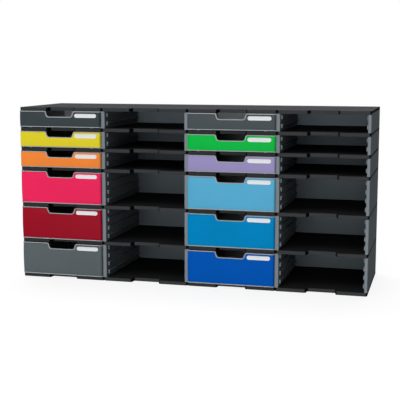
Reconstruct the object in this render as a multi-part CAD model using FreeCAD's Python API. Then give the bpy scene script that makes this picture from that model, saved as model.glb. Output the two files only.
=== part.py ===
"""Desk sorting station: four columns of six bays, with twelve pull-out drawers.

Every column is a stack of the same moulded plates.  End walls stand under the outer edges
and middle walls under the joint of two columns, and a back panel closes each bay.  Columns
1 and 3 hold the drawers: a grey tray, a coloured cover on its front and a blank label strip.
A stop strip on the floor of each drawer's bay catches the lip under the tray.

Millimetres.  +X is right, -Y is the front, +Z is up.  The origin is the centre of the
bounding box in plan, on the surface that the base plates rest on.
"""
import FreeCAD, Part
import math
import os

V = FreeCAD.Vector

# ---- layout ----
COLUMNS = 4
DRAWER_COLUMNS = (0, 2)
LOW_ROWS = 3                      # the upper rows
TALL_ROWS = 3                     # the lower rows
MODULE_W = 268.0                  # one column, outer face to outer face
DEPTH = 318.0                     # plates, front edge to rear edge
LOW_CLEAR = 51.2                  # height of a low bay between two plates
TALL_CLEAR = 101.5                # height of a tall bay

# ---- plates ----
PLATE_T = 10.5                    # height of a plate's edge
SKIN_T = 4.0                      # flat top of a plate
PLATE_RIM = 11.0                  # solid border round the pocket underneath
POCKET_WEB = 12.0                 # between the finger recess and the pocket
PLATE_CORNER = 4.0                # bevel of the front corners
GRIP_W = 85.0                     # finger recess in the front edge
GRIP_DEPTH = 20.0
GRIP_INNER_BEVEL = 3.0            # its inner corners
GRIP_LIP = 4.0                    # bevel where the recess meets the front edge

# ---- side walls ----
WALL_T = 9.0
WALL_SETBACK = 1.0                # from the plate's front edge to the wall's
WALL_BEVEL = 1.5                  # front edges
LAP_T = 2.4                       # end wall's lip over the plates' outer edges
LAP_H = 2.5
LAP_START = 14.0                  # from the plate's front edge
GUIDE_OUT = 4.5                   # guide rib, out from the wall
GUIDE_H = 5.0
GUIDE_TIP_H = 3.0
GUIDE_FIRST = 17.5                # from the bay's floor to the lowest rib
GUIDE_PITCH = 25.6
GUIDE_START = 16.0                # from the plate's front edge
GUIDE_RAMP = 5.0                  # slope at the rib's front end

# ---- back panels ----
BACK_T = 3.0
BACK_LAP = 4.0                    # how far the panel reaches into the wall's rebate

# ---- stop strips ----
STOP_W = 60.0
STOP_T = 4.0
STOP_H = 1.4
STOP_BACK = 24.0                  # from the plate's front edge to the strip

# ---- drawers ----
COVER_SIDE_AIR = 2.0              # from a cover's edge to the column's edge
PROUD = 10.0                      # cover's face ahead of the plates
COVER_T = 2.2
COVER_CORNER_R = 7.0              # upright outer edges
COVER_END = 1.5                   # air between the cover's returns and the walls' edges
FRONT_RIM = 2.0                   # grey edges of the tray's front above and below the cover
FRONT_T = 2.4                     # tray's front behind the cover
TOP_AIR = 0.7                     # air over a drawer's front
BOTTOM_AIR = 2.2                  # air under a drawer's front
COVER_FIT = 0.15
TRAY_WALL = 2.2
TRAY_FLOOR = 2.2
TRAY_SIDE_AIR = 0.7               # tray's side to a guide rib's tip
TRAY_CORNER = 4.0                 # bevel of the rear corners
TRAY_TOP_DROP = 4.0               # tray's side walls below the plate above
TRAY_BACK_AIR = 4.0
RUNNER_W = 6.0
RUNNER_H = 2.0
RUNNER_FROM_CENTRE = 100.0
STOP_LIP_T = 3.0
STOP_LIP_AIR = 0.4                # stop lip above the plate
STOP_LIP_INSET = 28.0             # from the tray's back to the front of its stop lip

# ---- finger cut-out and label of a drawer front ----
CUT_TOP_W = 90.0
CUT_BOTTOM_W = 80.0
CUT_DEPTH = 17.0
CUT_BOTTOM_R = 8.0
CUT_LIP = 2.5                     # bevel of its upper corners, where it meets the top edge
LABEL_W = 70.0
LABEL_H = 12.0
LABEL_T = 0.6
LABEL_CORNER = 3.5                # bevel of its corners
LABEL_FROM_CUT = 5.0              # from the cut-out's edge to the label
LABEL_DROP = 7.0                  # from the front's top edge to the label

# ---- worked out from the sizes above ----
ROWS = LOW_ROWS + TALL_ROWS
FRONT_Y = (PROUD + LABEL_T - DEPTH) / 2.0   # plates' front edge; the box is centred on the origin
BACK_Y = FRONT_Y + DEPTH
HALF_MODULE = MODULE_W / 2.0
WALL_IN = HALF_MODULE - WALL_T    # wall's inner face from the column's centre
TRAY_HALF = WALL_IN - GUIDE_OUT - TRAY_SIDE_AIR
PANEL_Y = BACK_Y - BACK_T
TRAY_BACK_Y = PANEL_Y - TRAY_BACK_AIR
COVER_Y = FRONT_Y - PROUD
COVER_W = MODULE_W - 2 * COVER_SIDE_AIR
TRAY_INNER_Y = COVER_Y + COVER_T + COVER_FIT + FRONT_T
STOP_REAR_Y = FRONT_Y + STOP_BACK + STOP_T
STOP_LIP_Y = TRAY_BACK_Y - STOP_LIP_INSET
TRAVEL = STOP_LIP_Y - STOP_REAR_Y  # how far a drawer opens until its lip meets the stop strip


# ================= helpers =================

def rounded_wire(corners, height):
    """Closed wire in a plane of constant Z; each corner is (x, y, radius)."""
    count = len(corners)
    entries = []
    for i, (x, y, radius) in enumerate(corners):
        point = V(x, y, height)
        before = V(corners[i - 1][0], corners[i - 1][1], height) - point
        after = V(corners[(i + 1) % count][0], corners[(i + 1) % count][1], height) - point
        before.normalize()
        after.normalize()
        if radius <= 0.0:
            entries.append((point, None, point))
            continue
        half = before.getAngle(after) / 2.0
        run = radius / math.tan(half)
        inward = before + after
        inward.normalize()
        middle = point + inward * (radius / math.sin(half) - radius)
        entries.append((point + before * run, middle, point + after * run))
    edges = []
    for i, (start, middle, end) in enumerate(entries):
        if middle is not None:
            edges.append(Part.Arc(start, middle, end).toShape())
        following = entries[(i + 1) % count][0]
        if (following - end).Length > 1e-6:
            edges.append(Part.LineSegment(end, following).toShape())
    return Part.Wire(edges)


def plan_prism(corners, z_low, z_high):
    """Solid with a plan outline, from z_low up to z_high."""
    face = Part.Face(rounded_wire(corners, z_low))
    return face.extrude(V(0, 0, z_high - z_low))


def box_outline(x_low, x_high, y_low, y_high, bevel):
    """Corners of a rectangle whose four corners are bevelled."""
    return [(x_low, y_low + bevel, 0), (x_low + bevel, y_low, 0),
            (x_high - bevel, y_low, 0), (x_high, y_low + bevel, 0),
            (x_high, y_high - bevel, 0), (x_high - bevel, y_high, 0),
            (x_low + bevel, y_high, 0), (x_low, y_high - bevel, 0)]


def front_prism(corners, y_front, y_back):
    """Solid with an outline in the X-Z plane, each corner (x, z, radius)."""
    flat = Part.Face(rounded_wire(corners, 0.0))
    flat.rotate(V(0, 0, 0), V(1, 0, 0), 90)
    flat.translate(V(0, y_front, 0))
    return flat.extrude(V(0, y_back - y_front, 0))


def block(x_low, x_high, y_low, y_high, z_low, z_high):
    size = (x_high - x_low, y_high - y_low, z_high - z_low)
    return Part.makeBox(*size, V(x_low, y_low, z_low))


def mirrored(shape):
    return shape.mirror(V(0, 0, 0), V(1, 0, 0))


def moved(shape, x=0.0, z=0.0):
    copy = shape.copy()
    copy.translate(V(x, 0, z))
    return copy


def save(name, solids):
    shape = solids[0] if len(solids) == 1 else Part.makeCompound(solids)
    if not shape.isValid():
        raise ValueError("invalid shape: " + name)
    shape.exportStep("parts/" + name + ".step")


# ================= places of columns and rows =================

def column_x(column):
    return (column - (COLUMNS - 1) / 2.0) * MODULE_W


def row_clear(row):
    """Clear height of a bay; row 1 is the top one."""
    return LOW_CLEAR if row <= LOW_ROWS else TALL_CLEAR


def plate_top(level):
    """Top face of a plate; level 0 is the top one, and level n is the floor of row n."""
    return PLATE_T + sum(row_clear(row) + PLATE_T for row in range(level + 1, ROWS + 1))


# ================= plates =================

def plate_outline():
    """Plan of a plate with its finger recess, from the front left corner round to the right."""
    half = GRIP_W / 2.0
    inner = FRONT_Y + GRIP_DEPTH
    right = [(half - GRIP_INNER_BEVEL, inner, 0), (half, inner - GRIP_INNER_BEVEL, 0),
             (half, FRONT_Y + GRIP_LIP, 0), (half + GRIP_LIP, FRONT_Y, 0),
             (HALF_MODULE - PLATE_CORNER, FRONT_Y, 0), (HALF_MODULE, FRONT_Y + PLATE_CORNER, 0),
             (HALF_MODULE, BACK_Y, 0)]
    left = [(-x, y, 0) for x, y, _ in reversed(right)]
    return left + right


def pocket():
    """Hollow under the skin, inside the border and behind the finger recess."""
    half = HALF_MODULE - PLATE_RIM
    front = FRONT_Y + GRIP_DEPTH + POCKET_WEB
    return block(-half, half, front, BACK_Y - PLATE_RIM, 0, PLATE_T - SKIN_T)


def lap_rebate(side, z_low):
    """Cutting solid along a plate's outer edge, where an end wall's lip lies."""
    edge = side * HALF_MODULE
    inner = edge - side * LAP_T
    return block(min(edge, inner), max(edge, inner), FRONT_Y + LAP_START, BACK_Y, z_low, z_low + LAP_H)


def plate(column, level):
    """Plate of a column at its own height; level 0 is the top one."""
    cuts = [pocket()]
    sides = {0: -1, COLUMNS - 1: 1}
    if column in sides and level > 0:
        cuts.append(lap_rebate(sides[column], PLATE_T - LAP_H))
    if column in sides and level < ROWS:
        cuts.append(lap_rebate(sides[column], 0))
    shape = plan_prism(plate_outline(), 0, PLATE_T).cut(Part.makeCompound(cuts))
    return moved(shape, column_x(column), plate_top(level) - PLATE_T)


def make_plates():
    names = ["top_plates"]
    names += ["shelf_plates_%d" % level for level in range(1, ROWS)]
    names += ["base_plates"]
    for level, name in enumerate(names):
        save(name, [plate(column, level) for column in range(COLUMNS)])


def make_stops():
    """Strips on the floors of the drawers' bays, behind the finger recess."""
    strip = block(-STOP_W / 2.0, STOP_W / 2.0, STOP_REAR_Y - STOP_T, STOP_REAR_Y, 0, STOP_H)
    solids = [moved(strip, column_x(column), plate_top(row))
              for row in range(1, ROWS + 1) for column in DRAWER_COLUMNS]
    save("drawer_stops", solids)


# ================= walls and back panels =================

def guide_rib(height):
    """Drafted rib on the inner face of a column's right-hand wall, with a sloped front end."""
    tip = WALL_IN - GUIDE_OUT
    section = [(WALL_IN, height - GUIDE_H / 2.0, 0), (WALL_IN, height + GUIDE_H / 2.0, 0),
               (tip, height + GUIDE_TIP_H / 2.0, 0), (tip, height - GUIDE_TIP_H / 2.0, 0)]
    start = FRONT_Y + GUIDE_START
    rib = front_prism(section, start, PANEL_Y)
    ramp = plan_prism([(WALL_IN, start, 0), (tip, start + GUIDE_RAMP, 0), (tip, start, 0)],
                      height - GUIDE_H, height + GUIDE_H)
    return rib.cut(ramp)


def wall_slab(clear, outer_edge):
    """Half of a wall: the part in one column, bevelled at the front, rebated for the panel."""
    front = FRONT_Y + WALL_SETBACK
    outline = [(WALL_IN, front + WALL_BEVEL, 0), (WALL_IN + WALL_BEVEL, front, 0)]
    outline += outer_edge
    outline += [(HALF_MODULE, BACK_Y, 0), (WALL_IN + BACK_LAP, BACK_Y, 0),
                (WALL_IN + BACK_LAP, PANEL_Y, 0), (WALL_IN, PANEL_Y, 0)]
    slab = plan_prism(outline, 0, clear)
    count = int((clear - GUIDE_FIRST - GUIDE_H / 2.0) // GUIDE_PITCH) + 1
    ribs = [guide_rib(GUIDE_FIRST + i * GUIDE_PITCH) for i in range(count)]
    return slab.multiFuse(ribs)


def end_wall(clear):
    """Right-hand end wall, with lips that lap the outer edges of the plates."""
    front = FRONT_Y + WALL_SETBACK
    slab = wall_slab(clear, [(HALF_MODULE - WALL_BEVEL, front, 0), (HALF_MODULE, front + WALL_BEVEL, 0)])
    lips = [lap_rebate(1, -LAP_H), lap_rebate(1, clear)]
    return slab.multiFuse(lips).removeSplitter()


def middle_wall(clear):
    """Wall under the joint of two columns, centred on the joint, with guide ribs both ways."""
    half = moved(wall_slab(clear, [(HALF_MODULE, FRONT_Y + WALL_SETBACK, 0)]), -HALF_MODULE)
    return half.fuse(mirrored(half)).removeSplitter()


def make_walls():
    first, last = column_x(0), column_x(COLUMNS - 1)
    for row in range(1, ROWS + 1):
        clear = row_clear(row)
        floor = plate_top(row)
        end = end_wall(clear)
        middle = middle_wall(clear)
        save("end_walls_row_%d" % row, [moved(mirrored(end), first, floor), moved(end, last, floor)])
        save("middle_walls_row_%d" % row,
             [moved(middle, column_x(column) + HALF_MODULE, floor) for column in range(COLUMNS - 1)])


def make_back_panels():
    half = WALL_IN + BACK_LAP
    for size, rows in (("low", range(1, LOW_ROWS + 1)), ("tall", range(LOW_ROWS + 1, ROWS + 1))):
        solids = []
        for row in rows:
            panel = block(-half, half, PANEL_Y, BACK_Y, 0, row_clear(row))
            solids += [moved(panel, column_x(column), plate_top(row)) for column in range(COLUMNS)]
        save("%s_back_panels" % size, solids)


# ================= drawers =================

def cut_out(top, grow):
    """Finger cut-out below a drawer front's top edge, as a cutting solid.

    Grow moves its outline out all round, and the top edge down, as an even rim does.
    """
    edge = top - grow
    bottom = top - CUT_DEPTH - grow
    half_top = CUT_TOP_W / 2.0 + grow
    half_bottom = CUT_BOTTOM_W / 2.0 + grow
    lip = CUT_LIP - grow * (2.0 - math.sqrt(2.0))
    lip_x = half_top - lip * (half_top - half_bottom) / CUT_DEPTH
    right = [(half_bottom, bottom, CUT_BOTTOM_R + grow), (lip_x, edge - lip, 0),
             (half_top + lip, edge, 0), (half_top + lip, top + PLATE_T, 0)]
    left = [(-x, z, radius) for x, z, radius in reversed(right)]
    return front_prism(left + right, COVER_Y - COVER_T, TRAY_INNER_Y + FRONT_T)


def bevel_round(radius):
    """Bevel that touches an arc of this radius in its middle."""
    return radius * (2.0 - math.sqrt(2.0))


def front_shell(outer_corner, low, high, wall):
    """Face with returns round its sides, as thick as given; its right outer corner is given."""
    inner = COVER_W / 2.0 - wall
    face = COVER_Y + wall
    back = FRONT_Y - COVER_END
    bevel = bevel_round(COVER_CORNER_R - wall)
    right = outer_corner + [(COVER_W / 2.0, back, 0), (inner, back, 0),
                            (inner, face + bevel, 0), (inner - bevel, face, 0)]
    left = [(-x, y, radius) for x, y, radius in reversed(right)]
    return plan_prism(right + left, low, high)


def front_rim(low):
    """Thin grey edge along the top or the foot of the tray's front, with bevelled corners."""
    half = COVER_W / 2.0
    bevel = bevel_round(COVER_CORNER_R)
    corner = [(half - bevel, COVER_Y, 0), (half, COVER_Y + bevel, 0)]
    return front_shell(corner, low, low + FRONT_RIM, COVER_T + COVER_FIT)


def tray(clear):
    """Grey tray with its front, standing on the bay's floor at height 0.

    Rims above, below and round the cut-out reach forward to the cover's face.
    """
    top = clear - TOP_AIR
    half = COVER_W / 2.0 - COVER_CORNER_R
    front = block(-half, half, TRAY_INNER_Y - FRONT_T, TRAY_INNER_Y, BOTTOM_AIR, top)
    around = cut_out(top, FRONT_RIM).common(block(-half, half, COVER_Y, TRAY_INNER_Y, BOTTOM_AIR, top))
    front = front.multiFuse([front_rim(BOTTOM_AIR), front_rim(top - FRONT_RIM), around]).cut(cut_out(top, 0))

    side_top = clear - TRAY_TOP_DROP
    base = RUNNER_H + TRAY_FLOOR
    shell = plan_prism(tray_outline(0), RUNNER_H, side_top)
    shell = shell.cut(plan_prism(tray_outline(TRAY_WALL), base, side_top))

    under = [block(-STOP_W / 2.0, STOP_W / 2.0, STOP_LIP_Y, STOP_LIP_Y + STOP_LIP_T,
                   STOP_LIP_AIR, RUNNER_H)]
    for side in (-1, 1):
        x = side * RUNNER_FROM_CENTRE
        under.append(block(x - RUNNER_W / 2.0, x + RUNNER_W / 2.0, FRONT_Y,
                           TRAY_BACK_Y - TRAY_CORNER, 0, RUNNER_H))
    return shell.multiFuse([front] + under).removeSplitter()


def tray_outline(inset):
    """Plan of the tray behind its front, with bevelled rear corners."""
    half = TRAY_HALF - inset
    back = TRAY_BACK_Y - inset
    bevel = TRAY_CORNER - inset * (2.0 - math.sqrt(2.0))
    return [(-half, TRAY_INNER_Y, 0), (half, TRAY_INNER_Y, 0), (half, back - bevel, 0),
            (half - bevel, back, 0), (bevel - half, back, 0), (-half, back - bevel, 0)]


def cover(clear):
    """Coloured cover on a tray's front, between its rims, with returns round its sides."""
    top = clear - TOP_AIR
    low = BOTTOM_AIR + FRONT_RIM + COVER_FIT
    high = top - FRONT_RIM - COVER_FIT
    corner = [(COVER_W / 2.0, COVER_Y, COVER_CORNER_R)]
    return front_shell(corner, low, high, COVER_T).cut(cut_out(top, FRONT_RIM + COVER_FIT))


def label(clear):
    """Blank label strip on the cover's face."""
    left = CUT_TOP_W / 2.0 + LABEL_FROM_CUT
    high = clear - TOP_AIR - LABEL_DROP
    outline = box_outline(left, left + LABEL_W, high - LABEL_H, high, LABEL_CORNER)
    return front_prism(outline, COVER_Y - LABEL_T, COVER_Y)


def make_drawers():
    pieces = {"tray": tray, "cover": cover, "label": label}
    for row in range(1, ROWS + 1):
        for piece, maker in pieces.items():
            shape = maker(row_clear(row))
            for column in DRAWER_COLUMNS:
                name = "drawer_%s_c%d_r%d" % (piece, column + 1, row)
                save(name, [moved(shape, column_x(column), plate_top(row))])


def main():
    os.makedirs("parts", exist_ok=True)
    make_plates()
    make_stops()
    make_walls()
    make_back_panels()
    make_drawers()


main()
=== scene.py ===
"""Looks of a desk sorting station: stacked moulded plates and walls with twelve drawers."""
import math

import bpy
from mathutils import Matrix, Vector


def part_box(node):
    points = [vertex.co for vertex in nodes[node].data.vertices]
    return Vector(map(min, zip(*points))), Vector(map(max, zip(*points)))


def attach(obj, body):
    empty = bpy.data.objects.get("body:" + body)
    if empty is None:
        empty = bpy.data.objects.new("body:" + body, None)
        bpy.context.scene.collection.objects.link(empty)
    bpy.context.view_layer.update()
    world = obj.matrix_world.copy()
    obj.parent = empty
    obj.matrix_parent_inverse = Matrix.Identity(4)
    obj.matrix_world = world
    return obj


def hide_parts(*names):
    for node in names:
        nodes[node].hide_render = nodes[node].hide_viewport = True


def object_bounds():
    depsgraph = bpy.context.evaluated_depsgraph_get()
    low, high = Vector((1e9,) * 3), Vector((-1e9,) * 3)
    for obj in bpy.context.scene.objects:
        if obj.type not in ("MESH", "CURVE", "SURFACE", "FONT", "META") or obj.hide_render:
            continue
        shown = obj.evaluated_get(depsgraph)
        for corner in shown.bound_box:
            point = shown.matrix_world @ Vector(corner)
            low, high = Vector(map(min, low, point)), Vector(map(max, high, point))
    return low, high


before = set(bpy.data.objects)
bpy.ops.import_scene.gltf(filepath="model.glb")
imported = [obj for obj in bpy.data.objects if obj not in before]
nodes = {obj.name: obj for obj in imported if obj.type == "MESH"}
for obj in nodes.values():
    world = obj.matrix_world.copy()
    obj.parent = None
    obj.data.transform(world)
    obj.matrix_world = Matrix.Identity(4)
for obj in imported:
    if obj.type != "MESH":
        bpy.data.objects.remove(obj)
cad_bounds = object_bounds()
bpy.ops.object.select_all(action="DESELECT")

# ======== floor, backdrop and lamps ========
# The station stands on a plain white studio floor that runs into a white backdrop.  Soft lamps
# hang high behind it and high in front, both to the left, and light off the floor comes from
# low in front.  One more weak lamp reaches the top row through the top plates.

scene = bpy.context.scene
scene.view_settings.view_transform = "Standard"

FLOOR_REACH = 12.0                # from the middle of the floor to its edges
FADE_FROM = 0.9                   # distance from the middle at which the floor begins to whiten
FADE_TO = 2.6                     # and at which it is as white as the backdrop
FLOOR_WHITE = 0.85                # share of plain white that the camera sees nearer than that
FLOOR_PAINT_SEEN = 0.90           # paint of the rest, which shows the station's shadow
FLOOR_PAINT_BOUNCE = 0.16         # paint that throws light back at the station
SKY_FILL = 0.10                   # light from all round on the object
CAMERA_PLACE = (0.7432, -2.8036, 0.6560)
CAMERA_DOWN = 8.16                # degrees below level
CAMERA_LEFT = 14.874              # degrees to the left of straight ahead
LENS = 83.95                      # millimetres
SENSOR_WIDTH = 36.0               # millimetres
LAMP_HEIGHT = 3.0                 # a lamp of this kind lights alike from any place


def add_node(tree, kind, x, y, **settings):
    made = tree.nodes.new(kind)
    made.location = (x, y)
    for name, value in settings.items():
        setattr(made, name, value)
    return made


def link(tree, start, end):
    tree.links.new(start, end)


def feed(tree, value, socket):
    """Puts a plain number on a socket, or links another node's output to it."""
    if isinstance(value, float):
        socket.default_value = value
    else:
        link(tree, value, socket)


def combine(tree, operation, first, second, x, y):
    """Output of a Math node, whose two inputs are numbers or other nodes' outputs."""
    made = add_node(tree, "ShaderNodeMath", x, y, operation=operation)
    feed(tree, first, made.inputs[0])
    feed(tree, second, made.inputs[1])
    return made.outputs[0]


def choose(tree, share, first, second, x, y):
    """Goes from the first number to the second as the share goes from 0 to 1."""
    made = add_node(tree, "ShaderNodeMix", x, y)
    link(tree, share, made.inputs["Factor"])
    made.inputs["A"].default_value = first
    made.inputs["B"].default_value = second
    return made.outputs["Result"]


def remap(tree, value, low, high, to_low, to_high, x, y, **settings):
    """Stretches the part of a value from low to high over to_low to to_high."""
    made = add_node(tree, "ShaderNodeMapRange", x, y, **settings)
    feed(tree, value, made.inputs["Value"])
    feed(tree, low, made.inputs["From Min"])
    feed(tree, high, made.inputs["From Max"])
    feed(tree, to_low, made.inputs["To Min"])
    feed(tree, to_high, made.inputs["To Max"])
    return made.outputs["Result"]


def seen_white(tree, x, y):
    """1 for rays that see the backdrop, straight or in a reflection, and 0 for other rays."""
    path = add_node(tree, "ShaderNodeLightPath", x, y)
    mirrored = combine(tree, "MAXIMUM", path.outputs["Is Glossy Ray"],
                       path.outputs["Is Transmission Ray"], x + 200, y)
    return combine(tree, "MAXIMUM", path.outputs["Is Camera Ray"], mirrored, x + 400, y)


world = bpy.data.worlds.new("studio")
scene.world = world
world.use_nodes = True
tree = world.node_tree
background = tree.nodes["Background"]
background.inputs["Color"].default_value = (1.0, 1.0, 1.0, 1.0)
strength = choose(tree, seen_white(tree, -800, 0), SKY_FILL, 1.0, -200, -100)
link(tree, strength, background.inputs["Strength"])

bpy.ops.mesh.primitive_plane_add(size=2 * FLOOR_REACH, location=(0, 0, 0))
floor = bpy.context.object
floor.name = "studio_floor"
paper = bpy.data.materials.new("studio_floor")
paper.use_nodes = True
tree = paper.node_tree
tree.nodes.clear()
coords = add_node(tree, "ShaderNodeTexCoord", -1400, 300)
reach = add_node(tree, "ShaderNodeVectorMath", -1200, 300, operation="LENGTH")
link(tree, coords.outputs["Object"], reach.inputs[0])
fade = remap(tree, reach.outputs["Value"], FADE_FROM, FADE_TO, FLOOR_WHITE, 1.0, -1000, 300,
             interpolation_type="SMOOTHSTEP")
mask = seen_white(tree, -1000, 0)
share = combine(tree, "MULTIPLY", fade, mask, -400, 200)
paint = choose(tree, mask, FLOOR_PAINT_BOUNCE, FLOOR_PAINT_SEEN, -400, -100)
diffuse = add_node(tree, "ShaderNodeBsdfDiffuse", -150, -100)
link(tree, paint, diffuse.inputs["Color"])
white = add_node(tree, "ShaderNodeEmission", -150, 50)
both = add_node(tree, "ShaderNodeMixShader", 100, 0)
link(tree, share, both.inputs["Fac"])
link(tree, diffuse.outputs[0], both.inputs[1])
link(tree, white.outputs[0], both.inputs[2])
out = add_node(tree, "ShaderNodeOutputMaterial", 300, 0)
link(tree, both.outputs[0], out.inputs["Surface"])
floor.data.materials.append(paper)
floor.visible_shadow = False


def hang_lamp(name, to_right, above, level, spread):
    """Soft lamp far off, in degrees to the right of straight in front and above level ground.

    A white face turned to it is as bright as level says, and spread is the lamp's width in degrees.
    """
    bpy.ops.object.light_add(type="SUN", location=(0, 0, LAMP_HEIGHT))
    lamp = bpy.context.object
    lamp.name = name
    lamp.rotation_euler = (math.radians(90 - above), 0, math.radians(to_right))
    lamp.data.energy = level * math.pi
    lamp.data.angle = math.radians(spread)
    return lamp


hang_lamp("soft_lamp_in_front", to_right=-15, above=52, level=0.42, spread=40)
hang_lamp("light_off_the_floor", to_right=-2, above=-7, level=0.44, spread=34)
hang_lamp("lamp_overhead", to_right=-160, above=68, level=0.86, spread=40)
row_lamp = hang_lamp("lamp_for_the_top_row", to_right=2, above=18, level=0.17, spread=24)
# the top plates throw no shadow from this lamp, so that it lights the bays under them
let_through = bpy.data.collections.new("let_through")
let_through.objects.link(nodes["top_plates"])
let_through.collection_objects[0].light_linking.link_state = "EXCLUDE"
row_lamp.light_linking.blocker_collection = let_through

bpy.ops.object.camera_add(location=CAMERA_PLACE,
                          rotation=(math.radians(90 - CAMERA_DOWN), 0, math.radians(CAMERA_LEFT)))
camera = bpy.context.object
camera.data.lens = LENS
camera.data.sensor_width = SENSOR_WIDTH
scene.camera = camera

# ======== plates ========
# Four columns of the same black plate, injection moulded in polystyrene with a fine
# spark-eroded grain.  They clip onto the walls.  The floors of the lower ones carry no dust,
# and painted shade darkens them for the shade of the plates above.

PLATE_EDGE = 0.0006               # rounding of the moulded edges
EDGE_STEPS = 2                    # steps in a small rounded edge
SAME_POINT = 0.00002              # corners nearer than this are one
SAME_FACE = math.radians(1)       # faces that turn by less than this are one
SHARP_EDGE = math.radians(40)     # edges that turn by more than this are rounded
SPARK_GRAIN = 900.0               # grains to the metre
SPARK_DEPTH = 0.00006
FLOW_MARKS = 9.0                  # marks to the metre
FLOW_SPAN = (0.3, 0.7)            # noise at which a mark begins, and at which it is full
DUST_PATCHES = 14.0               # patches to the metre
DUST_SPAN = (0.35, 0.75)          # noise at which a patch begins, and at which it is full
DUST_LEAST = 0.25                 # dust between the patches
DUST_SLOPE = (0.55, 1.0)          # how far up a face looks where dust begins, and lies fully
# the next two set where the painted shade of gaps and of floors begins, and where it is full
SIDE_SLOPE = (0.30, 0.60)         # how far sideways a face looks where it begins to be a side
                                  # face, and where it fully is
FLOOR_SLOPE = (0.60, 0.95)        # the same for how far up, and a floor face


def tone(red, green, blue):
    """A colour as it is seen, 0 to 255, as the values that a shader takes."""
    values = [c / 255.0 for c in (red, green, blue)]
    return [c / 12.92 if c <= 0.04045 else ((c + 0.055) / 1.055) ** 2.4 for c in values] + [1.0]


def new_group(name, inputs, outputs):
    """Empty node group with its sockets; a vector socket has no value of its own."""
    group = bpy.data.node_groups.new(name, "ShaderNodeTree")
    for label, kind, value in inputs:
        socket = group.interface.new_socket(name=label, in_out="INPUT", socket_type=kind)
        if value is not None:
            socket.default_value = value
    for label, kind in outputs:
        group.interface.new_socket(name=label, in_out="OUTPUT", socket_type=kind)
    start = add_node(group, "NodeGroupInput", -900, 0)
    end = add_node(group, "NodeGroupOutput", 900, 0)
    return group, start, end


def noise(tree, vector, scale, x, y, detail, roughness=0.5):
    made = add_node(tree, "ShaderNodeTexNoise", x, y)
    made.inputs["Detail"].default_value = detail
    made.inputs["Roughness"].default_value = roughness
    link(tree, vector, made.inputs["Vector"])
    feed(tree, scale, made.inputs["Scale"])
    return made.outputs["Fac"]


# Moulded grain: a fine spark texture, broad flow marks from the melt, and their effect on gloss.
grain_group, start, end = new_group(
    "moulded_grain",
    [("Vector", "NodeSocketVector", None), ("Grain Scale", "NodeSocketFloat", SPARK_GRAIN),
     ("Flow", "NodeSocketFloat", 0.04), ("Gloss Change", "NodeSocketFloat", 0.05),
     ("Roughness", "NodeSocketFloat", 0.5)],
    [("Height", "NodeSocketFloat"), ("Tone", "NodeSocketFloat"), ("Roughness", "NodeSocketFloat")])
spark = noise(grain_group, start.outputs["Vector"], start.outputs["Grain Scale"], -600, 200, detail=2.0)
melt = noise(grain_group, start.outputs["Vector"], FLOW_MARKS, -600, -100, detail=3.0)
darker = combine(grain_group, "SUBTRACT", 1.0, start.outputs["Flow"], -300, -250)
lighter = combine(grain_group, "ADD", 1.0, start.outputs["Flow"], -300, -400)
duller = combine(grain_group, "ADD", start.outputs["Roughness"], start.outputs["Gloss Change"],
                 -300, -550)
flow = remap(grain_group, melt, *FLOW_SPAN, darker, lighter, 0, -200)
gloss = remap(grain_group, melt, *FLOW_SPAN, start.outputs["Roughness"], duller, 0, -500)
link(grain_group, spark, end.inputs["Height"])
link(grain_group, flow, end.inputs["Tone"])
link(grain_group, gloss, end.inputs["Roughness"])

# Settled dust: thin and patchy, on faces that look up.
dust_group, start, end = new_group(
    "settled_dust",
    [("Vector", "NodeSocketVector", None), ("Amount", "NodeSocketFloat", 0.1)],
    [("Mask", "NodeSocketFloat")])
geometry = add_node(dust_group, "ShaderNodeNewGeometry", -700, 200)
split = add_node(dust_group, "ShaderNodeSeparateXYZ", -500, 200)
link(dust_group, geometry.outputs["Normal"], split.inputs[0])
upward = remap(dust_group, split.outputs["Z"], *DUST_SLOPE, 0.0, 1.0, -300, 200)
patches = noise(dust_group, start.outputs["Vector"], DUST_PATCHES, -600, -100, detail=6.0,
                roughness=0.65)
patchy = remap(dust_group, patches, *DUST_SPAN, DUST_LEAST, 1.0, -300, -100)
lies = combine(dust_group, "MULTIPLY", upward, patchy, 0, 0)
thin = combine(dust_group, "MULTIPLY", lies, start.outputs["Amount"], 200, 0)
link(dust_group, thin, end.inputs["Mask"])

# Painted shade: faces that look sideways show only in gaps and are painted dark for the shade there,
# and the floors of the bays are painted dark for the shade of the plates above them.
painted_shade_group, start, end = new_group(
    "painted_shade_of_gaps_and_floors",
    [("Side Tone", "NodeSocketFloat", 1.0), ("Floor Tone", "NodeSocketFloat", 1.0)],
    [("Tone", "NodeSocketFloat")])
geometry = add_node(painted_shade_group, "ShaderNodeNewGeometry", -700, 200)
split = add_node(painted_shade_group, "ShaderNodeSeparateXYZ", -500, 200)
link(painted_shade_group, geometry.outputs["True Normal"], split.inputs[0])
across = add_node(painted_shade_group, "ShaderNodeMath", -300, 200, operation="ABSOLUTE")
link(painted_shade_group, split.outputs["X"], across.inputs[0])
sideways = remap(painted_shade_group, across.outputs[0], *SIDE_SLOPE, 1.0, start.outputs["Side Tone"], 0, 200)
upwards = remap(painted_shade_group, split.outputs["Z"], *FLOOR_SLOPE, 1.0, start.outputs["Floor Tone"],
                0, -100)
face = combine(painted_shade_group, "MULTIPLY", sideways, upwards, 300, 0)
link(painted_shade_group, face, end.inputs["Tone"])

DUST_COLOUR = tone(150, 148, 142)


def place_group(tree, group, x, y, **values):
    """Puts a group in a material, with a value for each input that is named."""
    made = add_node(tree, "ShaderNodeGroup", x, y, node_tree=group)
    for name, value in values.items():
        made.inputs[name.replace("_", " ")].default_value = value
    return made


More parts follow.
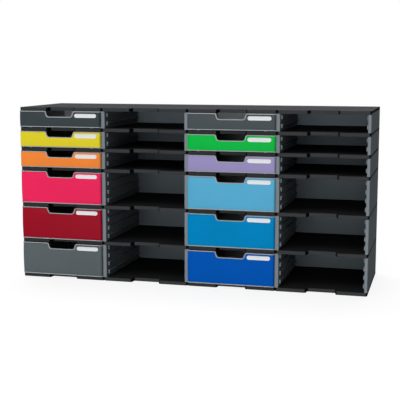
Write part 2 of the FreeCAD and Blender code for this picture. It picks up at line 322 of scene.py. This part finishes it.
def moulded_plastic(name, colour, roughness, flow=0.04, dust=0.05, specular=0.3, painted_side_shade=1.0,
                    painted_floor_shade=1.0):
    """Material of one moulded plastic, with grain, flow marks, a little dust, and painted shade on
    sideways faces and floors where it is asked for.
    """
    material = bpy.data.materials.new(name)
    material.use_nodes = True
    tree = material.node_tree
    shader = tree.nodes["Principled BSDF"]
    shader.location = (500, 0)
    tree.nodes["Material Output"].location = (800, 0)
    shader.inputs["Specular IOR Level"].default_value = specular
    coords = add_node(tree, "ShaderNodeTexCoord", -900, 0)
    skin = place_group(tree, grain_group, -600, 0, Flow=flow, Roughness=roughness)
    dusty = place_group(tree, dust_group, -600, -300, Amount=dust)
    faces = place_group(tree, painted_shade_group, -600, 300, Side_Tone=painted_side_shade, Floor_Tone=painted_floor_shade)
    for group in (skin, dusty):
        link(tree, coords.outputs["Object"], group.inputs["Vector"])
    # flow marks, times the painted shade of gaps and floors
    grain_and_painted_shade = combine(tree, "MULTIPLY", skin.outputs["Tone"], faces.outputs["Tone"], -420, 250)
    shade = add_node(tree, "ShaderNodeMix", -250, 200, data_type="RGBA", blend_type="MULTIPLY")
    shade.inputs["Factor"].default_value = 1.0
    shade.inputs["A"].default_value = colour
    link(tree, grain_and_painted_shade, shade.inputs["B"])
    top = add_node(tree, "ShaderNodeMix", 0, 200, data_type="RGBA")
    link(tree, dusty.outputs["Mask"], top.inputs["Factor"])
    link(tree, shade.outputs["Result"], top.inputs["A"])
    top.inputs["B"].default_value = DUST_COLOUR
    link(tree, top.outputs["Result"], shader.inputs["Base Color"])
    link(tree, skin.outputs["Roughness"], shader.inputs["Roughness"])
    bump = add_node(tree, "ShaderNodeBump", 200, -250)
    bump.inputs["Distance"].default_value = SPARK_DEPTH
    link(tree, skin.outputs["Height"], bump.inputs["Height"])
    link(tree, bump.outputs["Normal"], shader.inputs["Normal"])
    return material


def dress(name, material, edge):
    """Gives a CAD piece its material and rounds its edges, with its own mesh left as it is."""
    piece = nodes[name]
    piece.data.materials.clear()
    piece.data.materials.append(material)
    weld = piece.modifiers.new("join_faces", "WELD")
    weld.merge_threshold = SAME_POINT
    flat = piece.modifiers.new("flatten", "DECIMATE")
    flat.decimate_type = "DISSOLVE"
    flat.angle_limit = SAME_FACE
    rounded = piece.modifiers.new("round_edges", "BEVEL")
    rounded.width = edge
    rounded.segments = EDGE_STEPS
    rounded.limit_method = "ANGLE"
    rounded.angle_limit = SHARP_EDGE


PLATE_BLACK = tone(58, 59, 61)
GRAINED = 0.7                     # roughness of the grained faces
GRAINED_SHEEN = 0.003             # and their specular level
PAINTED_GAP_SHADE = 0.08                # painted shade: share of the black's tone that faces in the gaps keep
PAINTED_BAY_FLOOR_SHADE = 0.35               # and that the bays' floors keep, also painted shade

plate_plastic = moulded_plastic("plate_black", PLATE_BLACK, GRAINED, dust=0.05,
                                specular=GRAINED_SHEEN, painted_side_shade=PAINTED_GAP_SHADE)
shelf_plastic = moulded_plastic("plate_black_painted_floor_shade", PLATE_BLACK, GRAINED, dust=0.0,
                                specular=GRAINED_SHEEN, painted_side_shade=PAINTED_GAP_SHADE,
                                painted_floor_shade=PAINTED_BAY_FLOOR_SHADE)
dress("top_plates", plate_plastic, PLATE_EDGE)
for name in sorted(nodes):
    if name == "base_plates" or name.startswith("shelf_plates"):
        dress(name, shelf_plastic, PLATE_EDGE)

# ======== side walls ========
# End walls and middle walls of dark grey polystyrene stand between the plates, with guide
# ribs moulded on their inner faces.  Hooks hold them, hidden in the plates.

WALL_GREY = tone(124, 132, 138)
WALL_EDGE = 0.0004

wall_plastic = moulded_plastic("wall_dark_grey", WALL_GREY, GRAINED, dust=0.04,
                               specular=GRAINED_SHEEN)
for name in sorted(nodes):
    if "_walls_" in name:
        dress(name, wall_plastic, WALL_EDGE)

# ======== rib ends ========
# Each guide rib begins at the front with a small upright pad, moulded in one with the wall,
# that leads a sheet or a tray in.  One pad is shaped, repeated up the height of a bay,
# mirrored, and repeated along the row.

PAD_HEIGHT = 0.0120
PAD_RUN = 0.0080                  # front to back
PAD_OUT = 0.0044                  # how far a pad stands out of its wall
PAD_SUNK = 0.0003                 # and how far it reaches into the wall
PAD_ROUND = 0.0010
PAD_DROP = 0.0025                 # middle of a pad under the middle of its rib
RIB_START = 0.0160                # behind the plates' front edges
FIRST_RIB = 0.0175                # above the floor of the bay
RIB_PITCH = 0.0256
WALL_HALF = 0.0090                # half of a middle wall's thickness
COLUMNS = 4
ROWS = 6
SMOOTH_BELOW = math.radians(30)   # edges that turn by less than this are drawn smooth


def take(piece):
    """Makes a piece the active one and the only one that is selected."""
    bpy.ops.object.select_all(action="DESELECT")
    piece.select_set(True)
    bpy.context.view_layer.objects.active = piece


def edit(piece):
    """Edit mode on one piece, with nothing selected in it."""
    take(piece)
    bpy.ops.object.mode_set(mode="EDIT")
    bpy.ops.mesh.select_all(action="DESELECT")


def pick(piece, kind, wanted):
    """Selects the faces, edges or corners whose place and direction the test wanted accepts."""
    bpy.ops.mesh.select_mode(type=kind)
    bpy.ops.object.mode_set(mode="OBJECT")
    mesh = piece.data
    for group in (mesh.polygons, mesh.edges, mesh.vertices):
        group.foreach_set("select", [False] * len(group))
    if kind == "FACE":
        for face in mesh.polygons:
            face.select = wanted(face.center, face.normal)
    elif kind == "EDGE":
        for edge in mesh.edges:
            a, b = (mesh.vertices[i].co for i in edge.vertices)
            edge.select = wanted((a + b) / 2, b - a)
    else:
        for vertex in mesh.vertices:
            vertex.select = wanted(vertex.co, vertex.normal)
    bpy.ops.object.mode_set(mode="EDIT")


def apply_modifier(piece, kind, **settings):
    added = piece.modifiers.new(kind.lower(), kind)
    for name, value in settings.items():
        setattr(added, name, value)
    bpy.ops.object.modifier_apply(modifier=added.name)


def settle(piece, place):
    """Moves a piece to its place and puts the place in its mesh."""
    take(piece)
    piece.location = place
    bpy.ops.object.transform_apply(location=True, rotation=True, scale=True)


def copy_piece(pattern, name, place):
    """Copy of a pattern with its own mesh, set at its place."""
    take(pattern)
    bpy.ops.object.duplicate()
    piece = bpy.context.object
    piece.name = name
    settle(piece, place)
    return piece


def shape_rib_ends(name, ribs):
    """Rib ends of one row, with the middle of its first column and its lowest rib at the origin."""
    wall_face = column_pitch / 2 - WALL_HALF
    width = PAD_OUT + PAD_SUNK
    bpy.ops.mesh.primitive_cube_add(size=1, scale=(width, PAD_RUN, PAD_HEIGHT))
    piece = bpy.context.object
    piece.name = name
    settle(piece, (wall_face + PAD_SUNK - width / 2, PAD_RUN / 2, -PAD_DROP))
    apply_modifier(piece, "BEVEL", width=PAD_ROUND, segments=EDGE_STEPS, limit_method="NONE")
    apply_modifier(piece, "ARRAY", count=ribs, use_relative_offset=False, use_constant_offset=True,
                   constant_offset_displace=(0, 0, RIB_PITCH))
    apply_modifier(piece, "MIRROR")
    apply_modifier(piece, "ARRAY", count=COLUMNS, use_relative_offset=False, use_constant_offset=True,
                   constant_offset_displace=(column_pitch, 0, 0))
    edit(piece)
    bpy.ops.mesh.select_all(action="SELECT")
    bpy.ops.mesh.normals_make_consistent(inside=False)
    bpy.ops.object.mode_set(mode="OBJECT")
    bpy.ops.object.shade_smooth_by_angle(angle=SMOOTH_BELOW)
    return piece


levels = ["top_plates"] + ["shelf_plates_%d" % level for level in range(1, ROWS)] + ["base_plates"]
cad_low, cad_high = cad_bounds
column_pitch = (cad_high[0] - cad_low[0]) / COLUMNS
patterns = {}
for row in range(1, ROWS + 1):
    floor_low, floor_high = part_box(levels[row])
    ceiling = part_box(levels[row - 1])[0].z
    ribs = 1 + int((ceiling - floor_high.z - FIRST_RIB) / RIB_PITCH)
    if ribs not in patterns:
        patterns[ribs] = shape_rib_ends("rib_end_pattern_%d" % ribs, ribs)
    piece = copy_piece(patterns[ribs], "rib_ends_row_%d" % row,
                       (cad_low[0] + column_pitch / 2, floor_low.y + RIB_START,
                        floor_high.z + FIRST_RIB))
    piece.data.materials.append(wall_plastic)
    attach(piece, "frame")
for pattern in patterns.values():
    bpy.data.objects.remove(pattern)

# ======== back panels ========
# Sheets of dark grey polystyrene close each bay at the back, one size for the low bays and
# one for the tall.  They slide into rebates along the walls' back edges.

PANEL_GREY = tone(102, 111, 117)
PANEL_SHEEN = 0.02
PANEL_EDGE = 0.0003

panel_plastic = moulded_plastic("back_panel_grey", PANEL_GREY, GRAINED, dust=0.0,
                                specular=PANEL_SHEEN)
for name in ("low_back_panels", "tall_back_panels"):
    dress(name, panel_plastic, PANEL_EDGE)

# ======== stop strips ========
# Low strips of the plates' own black polystyrene on the floors of the drawers' bays.  Each
# catches the lip under a tray's back end, so that the drawer stays in when it is full out.

STRIP_EDGE = 0.0002

# the stops take the shelves' material, with its painted shade on floors and in gaps
dress("drawer_stops", shelf_plastic, STRIP_EDGE)

# ======== trays ========
# Grey polystyrene trays on two runners.  Their front's edges show as a thin light line
# above and below the cover and round the finger cut-out.

TRAY_GREY = tone(158, 164, 166)
TRAY_EDGE = 0.0003
SATIN = 0.5                       # roughness of the smooth faces that hands touch

tray_plastic = moulded_plastic("tray_grey", TRAY_GREY, SATIN, dust=0.02)
for name in sorted(nodes):
    if name.startswith("drawer_tray_"):
        dress(name, tray_plastic, TRAY_EDGE)

# ======== drawer covers ========
# Coloured covers clip over the trays' fronts.  Each is one thin polystyrene moulding with
# rounded upright edges, a slightly crowned face, and a notch round the finger cut-out.

COVER_WALL = 0.0022
COVER_CORNER = 0.0067             # radius of the upright edges
COVER_EDGE = 0.0004
CROWN_RISE = {"low": 0.0012, "tall": 0.0020}   # how far the middle of the face stands out
TALL_COVER = 0.070                # a cover higher than this is a tall one
CROWN_STEPS = 10                  # level strips in a crowned face
CORNER_STEPS = 8                  # steps in a rounded corner
LIP_STEPS = 4
RIM_FREE = 0.00215                # tray's edge that shows round the cut-out, with its air
CUT_TOP_HALF = 0.0450 + RIM_FREE
CUT_FOOT_HALF = 0.0400 + RIM_FREE
CUT_DEPTH = 0.0170
CUT_LEAN = (CUT_TOP_HALF - CUT_FOOT_HALF) / CUT_DEPTH
CUT_ROUND = 0.0076                # run of the rounded corners at the cut-out's foot
CUT_LIP = 0.0013                  # and where it meets the top edge
NEAR = 0.0001                     # what is nearer than this to a line is on it
CREASE = math.radians(50)         # edges that turn by more than this are rounded


def shape_cover(name, width, height, depth, rise):
    """One cover, with the middle of its face at the origin and its returns towards +Y."""
    half_w, half_h = width / 2, height / 2
    foot = half_h - CUT_DEPTH
    bpy.ops.mesh.primitive_plane_add(size=1, rotation=(math.pi / 2, 0, 0))
    piece = bpy.context.object
    piece.name = name
    piece.scale = (width, height, 1)
    bpy.ops.object.transform_apply(location=True, rotation=True, scale=True)
    # the finger cut-out: the face is cut along its foot and its two leaning sides
    edit(piece)
    cuts = [((0, 0, foot), (0, 0, 1)), ((-CUT_FOOT_HALF, 0, foot), (1, 0, CUT_LEAN)),
            ((CUT_FOOT_HALF, 0, foot), (1, 0, -CUT_LEAN))]
    for point, normal in cuts:
        bpy.ops.mesh.select_all(action="SELECT")
        bpy.ops.mesh.bisect(plane_co=point, plane_no=normal)
    pick(piece, "FACE", lambda co, n: co.z > foot
         and abs(co.x) < CUT_FOOT_HALF + CUT_LEAN * (co.z - foot))
    bpy.ops.mesh.delete(type="FACE")
    bpy.ops.mesh.select_all(action="SELECT")
    bpy.ops.mesh.dissolve_limited(angle_limit=SAME_FACE)
    pick(piece, "VERT", lambda co, n: abs(co.z - foot) < NEAR and abs(co.x) < CUT_FOOT_HALF + NEAR)
    bpy.ops.mesh.bevel(offset=CUT_ROUND, segments=CORNER_STEPS, affect="VERTICES")
    pick(piece, "VERT", lambda co, n: abs(co.z - half_h) < NEAR and abs(co.x) < CUT_TOP_HALF + NEAR)
    bpy.ops.mesh.bevel(offset=CUT_LIP, segments=LIP_STEPS, affect="VERTICES")
    # the crown: level cuts let the face curve from its foot to its top
    for i in range(1, CROWN_STEPS):
        bpy.ops.mesh.select_all(action="SELECT")
        bpy.ops.mesh.bisect(plane_co=(0, 0, height * (i / CROWN_STEPS - 0.5)), plane_no=(0, 0, 1))
    bpy.ops.object.mode_set(mode="OBJECT")
    radius = (half_h ** 2 + rise ** 2) / (2 * rise)
    apply_modifier(piece, "SIMPLE_DEFORM", deform_method="BEND", deform_axis="X",
                   angle=2 * math.asin(half_h / radius))
    # the returns: both upright edges are drawn back, rounded, and cut off at one depth
    edit(piece)
    pick(piece, "EDGE", lambda co, run: abs(co.x) > half_w - NEAR)
    reach = depth + 2 * rise
    bpy.ops.mesh.extrude_edges_move(TRANSFORM_OT_translate={"value": (0, reach, 0)})
    bpy.ops.transform.resize(value=(1, 0, 1), center_override=(0, reach, 0))
    pick(piece, "EDGE", lambda co, run: abs(co.x) > half_w - NEAR and co.y < reach / 2
         and abs(run.z) > abs(run.y))
    bpy.ops.mesh.bevel(offset=COVER_CORNER, segments=CORNER_STEPS, affect="EDGES")
    bpy.ops.mesh.select_all(action="SELECT")
    bpy.ops.mesh.bisect(plane_co=(0, depth, 0), plane_no=(0, 1, 0), clear_outer=True)
    bpy.ops.mesh.select_all(action="SELECT")
    bpy.ops.mesh.normals_make_consistent(inside=False)
    bpy.ops.object.mode_set(mode="OBJECT")
    # the wall, inwards from this skin
    apply_modifier(piece, "SOLIDIFY", thickness=COVER_WALL, offset=-1, use_even_offset=True)
    apply_modifier(piece, "BEVEL", width=COVER_EDGE, segments=EDGE_STEPS, limit_method="ANGLE",
                   angle_limit=CREASE)
    bpy.ops.object.shade_smooth_by_angle(angle=SMOOTH_BELOW)
    return piece


COVER_COLOURS = {
    "c1_r1": ("cover_charcoal", tone(54, 63, 67)),
    "c1_r2": ("cover_yellow", tone(220, 204, 40)),
    "c1_r3": ("cover_orange", tone(238, 133, 54)),
    "c1_r4": ("cover_pink", tone(235, 36, 90)),
    "c1_r5": ("cover_crimson", tone(148, 8, 33)),
    "c1_r6": ("cover_mid_grey", tone(86, 95, 98)),
    "c3_r1": ("cover_slate", tone(70, 78, 82)),
    "c3_r2": ("cover_green", tone(4, 181, 67)),
    "c3_r3": ("cover_lilac", tone(150, 140, 187)),
    "c3_r4": ("cover_light_blue", tone(84, 169, 206)),
    "c3_r5": ("cover_blue", tone(0, 129, 187)),
    "c3_r6": ("cover_dark_blue", tone(0, 82, 174)),
}
COVER_SHEEN = 0.07
# sheen of the purest colours, which more of it would pale
DEEP_SHEEN = {"cover_blue": 0.02, "cover_dark_blue": 0.02, "cover_green": 0.06}
patterns = {}
for drawer, (slot, colour) in COVER_COLOURS.items():
    low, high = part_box("drawer_cover_" + drawer)
    width, depth, height = high - low
    size = "tall" if height > TALL_COVER else "low"
    if size not in patterns:
        patterns[size] = shape_cover("cover_pattern_" + size, width, height, depth, CROWN_RISE[size])
    piece = copy_piece(patterns[size], "cover_face_" + drawer,
                       ((low.x + high.x) / 2, low.y, (low.z + high.z) / 2))
    sheen = DEEP_SHEEN.get(slot, COVER_SHEEN)
    cover_plastic = moulded_plastic(slot, colour, SATIN, dust=0.0, specular=sheen)
    piece.data.materials.append(cover_plastic)
    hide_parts("drawer_cover_" + drawer)
    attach(piece, "drawer_" + drawer)
for pattern in patterns.values():
    bpy.data.objects.remove(pattern)

# ======== labels ========
# White pill-shaped label holders of moulded plastic, stuck on the covers beside the cut-out.
# A raised rim frames a paper strip, which is left blank.

LABEL_WHITE = tone(240, 241, 243)
CARD_WHITE = tone(226, 228, 231)
LABEL_BACK = 0.0009               # how far the holder reaches into the crowned face
LABEL_END = 0.49                  # radius of the round ends, as a share of the height
LABEL_RIM = 0.0011
LABEL_SUNK = 0.0003               # how far the strip lies below the rim
LABEL_EDGE = 0.00012
LABEL_FLOW = 0.01                 # flow marks hardly show in white
GLOSSY = 0.35                     # roughness of the holder
CARD_MATT = 0.8                   # and of the paper strip
CARD_SHEEN = 0.1
NEARLY = 0.9                      # share of a full length or normal that still counts as it


def shape_label(name, width, height, depth):
    """One label holder, with the middle of its face at the origin."""
    bpy.ops.mesh.primitive_cube_add(size=1, location=(0, depth / 2, 0), scale=(width, depth, height))
    piece = bpy.context.object
    piece.name = name
    bpy.ops.object.transform_apply(location=True, rotation=True, scale=True)
    edit(piece)
    pick(piece, "EDGE", lambda co, run: abs(run.y) > NEARLY * depth)
    bpy.ops.mesh.bevel(offset=LABEL_END * height, segments=CORNER_STEPS, affect="EDGES")
    pick(piece, "FACE", lambda co, n: n.y < -NEARLY)
    bpy.ops.mesh.inset(thickness=LABEL_RIM)
    bpy.ops.transform.translate(value=(0, LABEL_SUNK, 0))
    bpy.ops.object.mode_set(mode="OBJECT")
    for face in piece.data.polygons:
        face.material_index = int(face.normal.y < -NEARLY and face.center.y > LABEL_SUNK / 2)
    apply_modifier(piece, "BEVEL", width=LABEL_EDGE, segments=EDGE_STEPS, limit_method="ANGLE",
                   angle_limit=CREASE)
    bpy.ops.object.shade_smooth_by_angle(angle=SMOOTH_BELOW)
    return piece


label_plastic = moulded_plastic("label_white", LABEL_WHITE, GLOSSY, flow=LABEL_FLOW, dust=0.0)
label_card = moulded_plastic("label_card", CARD_WHITE, CARD_MATT, flow=LABEL_FLOW, dust=0.0,
                             specular=CARD_SHEEN)
low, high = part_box("drawer_label_c1_r1")
width, depth, height = high - low
pattern = shape_label("label_pattern", width, height, depth + LABEL_BACK)
for drawer in COVER_COLOURS:
    low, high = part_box("drawer_label_" + drawer)
    piece = copy_piece(pattern, "label_holder_" + drawer,
                       ((low.x + high.x) / 2, low.y, (low.z + high.z) / 2))
    piece.data.materials.append(label_plastic)
    piece.data.materials.append(label_card)
    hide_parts("drawer_label_" + drawer)
    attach(piece, "drawer_" + drawer)
bpy.data.objects.remove(pattern)
